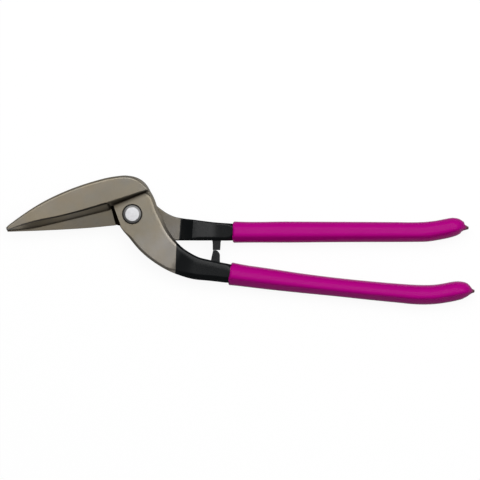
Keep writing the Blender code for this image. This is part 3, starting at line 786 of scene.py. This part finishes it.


# Satin ground steel, and black lacquer past a line across the arm. The steel's colour changes from tip to
# boss to neck over ranges of X - Y, in metres. Steep faces keep dark forge scale, which also paints shade on them: its
# range is of the normal's Z.
forgedFinish = {
    "tipSteel": (0.264, 0.231, 0.177), "bossSteel": (0.247, 0.222, 0.176), "neckSteel": (0.300, 0.275, 0.238),
    "tipRange": (-0.040, -0.018), "neckRange": (0.014, 0.044), "rangeWander": 0.006,
    "lacquer": (0.0016, 0.0026, 0.0034), "lacquerIor": 1.40, "metallic": 0.92,
    "paintedShade": (0.022, 0.016, 0.010), "scale": (0.060, 0.055, 0.048), "scaleShadeRange": (0.68, 0.35),
    "warm": (1.04, 1.0, 0.93), "cool": (0.97, 1.0, 1.07), "pit": (0.07, 0.062, 0.05), "pitDepth": 0.35,
    "steelRough": (0.34, 0.46), "lacquerRough": (0.24, 0.30),
    "streakLevels": (0.92, 1.08), "cloudLevels": (0.89, 1.11), "cloudShare": 0.6,
    "grainTurn": 18, "grainFine": 5200, "grainStretch": 22, "lineWander": 0.25, "lineSoft": 0.00008,
    "cloudSizes": (0.022, 0.0035, 0.014), "pitSize": 0.00045, "pitAmount": 0.27,
    "bump": {"Strength": 0.25, "Distance": 0.00005}, "steelHeight": (0, 0.25), "lacquerHeight": (0.4, 1.4),
}
# Each half's level, lowered on the far half as painted shade, and the place and slope of its lacquer's edge
nearForging = {"shadeTone": 1.0, "lineX": 28.2, "lineY": -18.4, "lineSlope": 0.037}
farForging = {"shadeTone": 0.595, "lineX": 30.8, "lineY": -2.9, "lineSlope": 0.075}

# Where the bevel and the wall lie in plan: the line at their foot and the one at their top. The painted shade's
# level is told for shares of the way between them, on the bevel and, past the heel, on the wall.
plan = {
    "left": -82, "right": 12, "low": -12, "high": 18, "heel": (-16.5, -13), "endFade": 1.1, "shares": (-1.5, 1.2),
}
bladeLines = {
    "foot": (
        (-80, -10.3), (-74.5, -9.9), (-66, -9.2), (-58.6, -7.8), (-45.9, -4.8), (-33.1, -1.7), (-14.2, 2.9),
        (-13, 5.1), (11, 14.6),
    ),
    "top": (
        (-80, -9.6), (-74.3, -7.9), (-65.4, -5.0), (-58.3, -3.25), (-45.5, -0.7), (-32.8, 2.6), (-16.6, 7.35),
        (9.2, 15.8), (11, 16.4),
    ),
    "bevel": (
        (-0.06, 0.0), (0.0, 0.85), (0.08, 0.60), (0.30, 0.20), (0.74, 0.15), (0.86, 0.60), (0.95, 0.60), (1.03, 0.0),
    ),
    "wall": (
        (-1.5, 0.0), (-1.1, 0.05), (-0.7, 0.22), (-0.3, 0.58), (0.0, 0.90), (0.35, 0.95), (0.60, 0.72), (0.85, 0.45),
        (1.0, 0.30), (1.1, 0.0),
    ),
    "wallEnd": 9.5, "above": 11.2,
}
# On the lower blade a painted shadow of the upper blade comes in over one millimetre, close under the edge
underLine = (
    (-80, -11.2), (-74.5, -10.8), (-66, -10.1), (-58.6, -8.7), (-45.9, -5.7), (-33.1, -2.6), (-14.2, 2), (-13, 3),
)
underEdge = ((0.0, 0.0), (0.35, 0.35), (0.80, 0.93), (1.2, 1.0))
lowerLines = {
    "foot": underLine, "top": [(x, y + 1) for x, y in underLine], "bevel": underEdge, "wall": underEdge,
    "wallEnd": -11, "above": 10.5,
}


def lineCurve(tree, value, line):
    # height of a line in plan, for each X
    curve = addNode(tree, "FloatCurve", {"Value": value})
    points = curve.mapping.curves[0].points
    while len(points) < len(line):
        points.new(0.5, 0.5)
    for point, (x, y) in zip(points, line):
        point.location = (
            (x - plan["left"]) / (plan["right"] - plan["left"]), (y - plan["low"]) / (plan["high"] - plan["low"])
        )
        point.handle_type = "VECTOR"
    curve.mapping.update()
    return curve.outputs[0]


def levelRamp(tree, value, stops):
    # a grey ramp through stops of (position, level)
    ramp = addNode(tree, "ValToRGB", {"Fac": value})
    elements = ramp.color_ramp.elements
    while len(elements) < len(stops):
        elements.new(0.5)
    for element, (position, level) in zip(elements, stops):
        element.position = position
        element.color = (level, level, level, 1.0)
    return ramp.outputs["Color"]


def shareRamp(tree, share, stops):
    first, last = plan["shares"]
    placed = [((position - first) / (last - first), level) for position, level in stops]
    return levelRamp(tree, ranged(tree, share, first, last), placed)


def shadeBandMask(tree, place, look):
    # painted shade across the ground bevel and the milled wall, painted shadow on the boss below the wall and on the
    # lower blade under the edge
    x = ranged(tree, place["X"], plan["left"] * mm, plan["right"] * mm)
    y = ranged(tree, place["Y"], plan["low"] * mm, plan["high"] * mm)
    share = ranged(tree, y, lineCurve(tree, x, look["foot"]), lineCurve(tree, x, look["top"]))
    share.node.clamp = False
    above = combined(tree, place["Z"], look["above"] * mm, "GREATER_THAN")
    heel = ranged(tree, place["X"], *(x * mm for x in plan["heel"]))
    band = mixColour(tree, heel, shareRamp(tree, share, look["bevel"]), shareRamp(tree, share, look["wall"]))
    end = ranged(tree, place["X"], look["wallEnd"] * mm, (look["wallEnd"] - plan["endFade"]) * mm)
    return combined(tree, combined(tree, above, end, "MULTIPLY"), band, "MULTIPLY")


def slotShade(tree, coords, place):
    # painted shade fills the heel slot
    (x0, y0), (x1, y1) = slot["ends"]
    square = Vector((y1 - y0, x0 - x1, 0)).normalized()
    across = addNode(tree, "VectorMath", {0: coords, 1: tuple(square)}, operation="DOT_PRODUCT").outputs["Value"]
    middle, margin = square.dot(onTable(x0, y0)), slot["shadeMargin"]
    half = (slot["width"] / 2 + margin) * mm
    near = addNode(tree, "Math", {0: across, 1: middle, 2: half}, operation="COMPARE").outputs[0]
    below = combined(tree, place["Z"], (levels["lowerShear"] - margin) * mm, "LESS_THAN")
    above = combined(tree, place["Z"], (slot["floor"] - margin) * mm, "GREATER_THAN")
    return combined(tree, near, combined(tree, below, above, "MULTIPLY"), "MULTIPLY")


def lacquerMask(tree, place, half, cloud):
    # past the lacquer's wandering edge
    slope, start = half["lineSlope"], half["lineX"] - half["lineSlope"] * half["lineY"]
    wander, soft = forgedFinish["lineWander"] * mm / 2, forgedFinish["lineSoft"]
    across = addNode(tree, "Math", {0: place["Y"], 1: -slope, 2: -start * mm}, operation="MULTIPLY_ADD")
    past = combined(tree, place["X"], across.outputs[0], "ADD")
    past = combined(tree, past, ranged(tree, cloud, 0, 1, -wander, wander), "ADD")
    return ranged(tree, past, -soft, soft)


def steelColour(tree, place, shadeTone, streaks, cloud, hue, pits):
    # the steel's colour along the tool, the half's level (lowered on the far half as painted shade), brushing,
    # warm and cool patches, pits, and forge scale with painted shade on the steep faces
    look = forgedFinish
    down = combined(tree, place["X"], place["Y"], "SUBTRACT")
    down = combined(tree, down, ranged(tree, hue, 0, 1, -look["rangeWander"], look["rangeWander"]), "ADD")
    steel = mixColour(tree, ranged(tree, down, *look["tipRange"]), look["tipSteel"], look["bossSteel"])
    steel = mixColour(tree, ranged(tree, down, *look["neckRange"]), steel, look["neckSteel"])
    brushed = ranged(tree, streaks, 0.3, 0.7, *look["streakLevels"])
    change = mixValue(tree, look["cloudShare"], brushed, ranged(tree, cloud, 0, 1, *look["cloudLevels"]))
    steel = mixColour(tree, 1.0, steel, greyOf(tree, combined(tree, change, shadeTone, "MULTIPLY")), "MULTIPLY")
    steel = mixColour(tree, 1.0, steel, mixColour(tree, hue, look["warm"], look["cool"]), "MULTIPLY")
    steel = mixColour(tree, ranged(tree, pits, 0, 1, 0, look["pitDepth"]), steel, look["pit"])
    # dark forge scale on the steep faces, partly painted shade there
    facing = addNode(tree, "SeparateXYZ", {"Vector": addNode(tree, "NewGeometry").outputs["True Normal"]})
    upright = addNode(tree, "Math", {0: facing.outputs["Z"]}, operation="ABSOLUTE").outputs[0]
    return mixColour(tree, ranged(tree, upright, *look["scaleShadeRange"]), steel, look["scale"])


def forgedMaterial(name, half, lines, groups):
    material, tree, shader, coords = newMaterial(name)
    look = forgedFinish
    turned = addNode(tree, "Mapping", {"Vector": coords, "Rotation": (0, 0, -math.radians(look["grainTurn"]))})
    streaks = useGroup(
        tree, groups["grain"],
        {"Vector": turned.outputs[0], "Fineness": look["grainFine"], "Stretch": look["grainStretch"]},
    )
    cloud, fineCloud, hue = (
        useGroup(tree, groups["mottle"], {"Vector": coords, "Size": size}) for size in look["cloudSizes"]
    )
    pits = useGroup(
        tree, groups["specks"], {"Vector": coords, "Size": look["pitSize"], "Amount": look["pitAmount"]}
    )
    place = addNode(tree, "SeparateXYZ", {"Vector": coords}).outputs
    painted = lacquerMask(tree, place, half, fineCloud)
    steel = steelColour(tree, place, half["shadeTone"], streaks, cloud, hue, pits)
    # painted shade and shadow on the bevel, the wall and under the edge, and painted shade in the heel slot
    dark = shadeBandMask(tree, place, lines)
    if lines is lowerLines:
        dark = combined(tree, dark, slotShade(tree, coords, place), "MAXIMUM")
    steel = mixColour(tree, dark, steel, look["paintedShade"])
    steelRough = ranged(tree, streaks, 0.25, 0.75, *look["steelRough"])
    lacquerRough = ranged(tree, cloud, 0, 1, *look["lacquerRough"])
    steelHeight = ranged(tree, streaks, 0, 1, *look["steelHeight"])
    lacquerHeight = ranged(tree, fineCloud, 0, 1, *look["lacquerHeight"])
    feed(tree, shader, {
        "Base Color": mixColour(tree, painted, steel, look["lacquer"]),
        "Roughness": mixValue(tree, painted, steelRough, lacquerRough),
        "Metallic": mixValue(tree, painted, look["metallic"], 0.0),
        "IOR": look["lacquerIor"],
        "Normal": bumped(tree, mixValue(tree, painted, steelHeight, lacquerHeight), look["bump"]),
    })
    return material


# Glossy dipped vinyl with the faint unevenness of a dip, grimy at the drip
vinylFinish = {
    "colour": (0.55, 0.0020, 0.278), "deep": (0.51, 0.0015, 0.252), "deepShare": 0.6, "drip": (0.12, 0.080, 0.070),
    "dust": (0.6, 0.3, 0.5), "dustShare": 0.05, "dustSize": 0.0007, "dustAmount": 0.26,
    "wave": 0.015, "skin": 0.0025, "skinShare": 0.03, "rough": (0.18, 0.23), "gloss": 0.045,
    "bump": {"Strength": 0.2, "Distance": 0.0002},
}


def vinylMaterial(groups):
    material, tree, shader, coords = newMaterial("dippedVinyl")
    look = vinylFinish
    wave = useGroup(tree, groups["mottle"], {"Vector": coords, "Size": look["wave"]})
    skin = useGroup(tree, groups["mottle"], {"Vector": coords, "Size": look["skin"]})
    dust = useGroup(
        tree, groups["specks"], {"Vector": coords, "Size": look["dustSize"], "Amount": look["dustAmount"]}
    )
    colour = mixColour(tree, ranged(tree, wave, 0, 1, 0, look["deepShare"]), look["colour"], look["deep"])
    colour = mixColour(tree, ranged(tree, dust, 0, 1, 0, look["dustShare"]), colour, look["dust"])
    drip = addNode(tree, "Attribute", attribute_name="drip").outputs["Fac"]
    feed(tree, shader, {
        "Base Color": mixColour(tree, drip, colour, look["drip"]),
        "Roughness": ranged(tree, skin, 0, 1, *look["rough"]),
        "Specular IOR Level": look["gloss"],
        "Normal": bumped(tree, mixValue(tree, look["skinShare"], wave, skin), look["bump"]),
    })
    return material


# Turned metals: the bolt is bright on its face, worn on its slope and blackened below
boltFinish = {
    "colour": (0.70, 0.70, 0.715), "rough": 0.5, "marks": 0.12,
    "worn": (0.37, 0.367, 0.362), "black": (0.12, 0.117, 0.113), "edgeSoft": 0.05,
}
springFinish = {"colour": (0.12, 0.12, 0.13), "rough": 0.38, "marks": 0.2}
zincFinish = {"colour": (0.60, 0.60, 0.58), "rough": 0.34, "marks": 0.15}
turning = {"rings": 6500.0, "cloudSize": 0.002, "tones": (0.93, 1.05), "rough": (-0.04, 0.06), "height": 0.00003}


def turnedMetal(name, look, groups):
    # rings left by the lathe, round the pivot's axis
    material, tree, shader, coords = newMaterial(name)
    place = addNode(tree, "SeparateXYZ", {"Vector": coords}).outputs
    flat = addNode(tree, "CombineXYZ", {"X": place["X"], "Y": place["Y"], "Z": 0.0})
    radius = addNode(tree, "VectorMath", {0: flat.outputs[0]}, operation="LENGTH").outputs["Value"]
    rings = addNode(
        tree, "TexNoise", {"W": radius, "Scale": turning["rings"], "Detail": 2.0}, noise_dimensions="1D"
    ).outputs["Fac"]
    cloud = useGroup(tree, groups["mottle"], {"Vector": coords, "Size": turning["cloudSize"]})
    shade = greyOf(tree, ranged(tree, cloud, 0, 1, *turning["tones"]))
    metal = mixColour(tree, 1.0, look["colour"], shade, "MULTIPLY")
    if "black" in look:
        soft = look["edgeSoft"]
        slope, rim = (
            ranged(tree, radius, (edge - soft) * mm, (edge + soft) * mm) for edge in (bolt["face"], bolt["slope"])
        )
        low = bolt["slopeLow"] - 2 * soft
        below = ranged(tree, place["Z"], low * mm, (low - 2 * soft) * mm)
        metal = mixColour(tree, slope, metal, look["worn"])
        metal = mixColour(tree, combined(tree, rim, below, "MAXIMUM"), metal, look["black"])
    rough = [look["rough"] + change for change in turning["rough"]]
    feed(tree, shader, {
        "Base Color": metal,
        "Roughness": ranged(tree, rings, 0.3, 0.7, *rough),
        "Metallic": 1.0,
        "Normal": bumped(tree, rings, {"Strength": look["marks"], "Distance": turning["height"]}),
    })
    return material


nylonFinish = {
    "pale": (0.68, 0.68, 0.61), "paler": (0.74, 0.74, 0.68), "rough": (0.42, 0.55), "cloudSize": 0.0015,
    "bump": {"Strength": 0.2, "Distance": 0.00004},
}


def nylonMaterial(groups):
    material, tree, shader, coords = newMaterial("nylonRing")
    look = nylonFinish
    cloud = useGroup(tree, groups["mottle"], {"Vector": coords, "Size": look["cloudSize"]})
    feed(tree, shader, {
        "Base Color": mixColour(tree, cloud, look["pale"], look["paler"]),
        "Roughness": ranged(tree, cloud, 0, 1, *look["rough"]),
        "Normal": bumped(tree, cloud, look["bump"]),
    })
    return material


# Studio: a pale table, a soft sky that is brightest overhead, and one soft box
studio = {
    "tableHalf": 2.5, "tableColour": (0.10, 0.10, 0.10), "tableLift": 0.925,
    "sky": ((0.0, 0.08), (0.35, 0.09), (0.56, 0.11), (0.80, 0.20), (0.92, 0.34), (1.0, 0.44)),
    "skyAxis": (0.15, 0.35, 0.925),
    "boxPlace": (0.24, 0.43, 1.15), "boxSize": (2.0, 0.80), "boxPower": 12.3, "boxAim": (0.07, -0.017, 0.0),
}


def makeTable():
    bpy.ops.mesh.primitive_plane_add(size=2 * studio["tableHalf"], location=(0, 0, 0))
    table = addedPrimitive("table")
    material = bpy.data.materials.new("paleTable")
    material.use_nodes = True
    tree = material.node_tree
    tree.nodes.clear()
    matte = addNode(tree, "BsdfDiffuse", {"Color": (*studio["tableColour"], 1.0)})
    path = addNode(tree, "LightPath").outputs
    seen = combined(tree, path["Is Camera Ray"], path["Is Glossy Ray"], "MAXIMUM")
    seen = combined(tree, seen, path["Is Transmission Ray"], "MAXIMUM")
    glow = addNode(tree, "Emission", {"Strength": combined(tree, seen, studio["tableLift"], "MULTIPLY")})
    both = addNode(tree, "AddShader", {0: matte.outputs[0], 1: glow.outputs[0]})
    addNode(tree, "OutputMaterial", {"Surface": both.outputs[0]})
    table.data.materials.append(material)


def makeSky():
    world = bpy.data.worlds.new("studioSky")
    world.use_nodes = True
    tree = world.node_tree
    direction = addNode(tree, "TexCoord").outputs["Generated"]
    climb = addNode(tree, "VectorMath", {0: direction, 1: studio["skyAxis"]}, operation="DOT_PRODUCT")
    sky = levelRamp(tree, ranged(tree, climb.outputs["Value"], -1, 1), studio["sky"])
    tree.links.new(sky, tree.nodes["Background"].inputs["Color"])
    bpy.context.scene.world = world


def makeLamp():
    lamp = bpy.data.objects.new("keyBox", bpy.data.lights.new("keyBox", "AREA"))
    bpy.context.scene.collection.objects.link(lamp)
    lamp.data.shape = "RECTANGLE"
    lamp.data.size, lamp.data.size_y = studio["boxSize"]
    lamp.data.energy = studio["boxPower"]
    lamp.location = studio["boxPlace"]
    aim = Vector(studio["boxAim"]) - Vector(studio["boxPlace"])
    lamp.rotation_euler = aim.to_track_quat("-Z", "Y").to_euler()
    lamp.visible_camera = False


def main():
    makeCamera()
    makeTable()
    makeSky()
    makeLamp()
    bpy.context.scene.view_settings.view_transform = "Standard"
    print("camera and studio ready")
    groups = {"grain": groundGrainGroup(), "mottle": mottleGroup(), "specks": specksGroup()}
    upperHalf(forgedMaterial("nearForging", nearForging, bladeLines, groups))
    lowerHalf(forgedMaterial("farForging", farForging, lowerLines, groups))
    vinyl = vinylMaterial(groups)
    gripPiece("upperGrip", farLimb, gripShape["upperTop"], vinyl, "lower_blade_body", "upper_grip")
    gripPiece("lowerGrip", nearLimb, gripShape["lowerTop"], vinyl, "upper_blade_body", "lower_grip")
    pivotBolt(turnedMetal("brightBolt", boltFinish, groups))
    discSpring(turnedMetal("springSteel", springFinish, groups))
    pivotNut(turnedMetal("zincPlate", zincFinish, groups))
    lockRing(nylonMaterial(groups))


main()
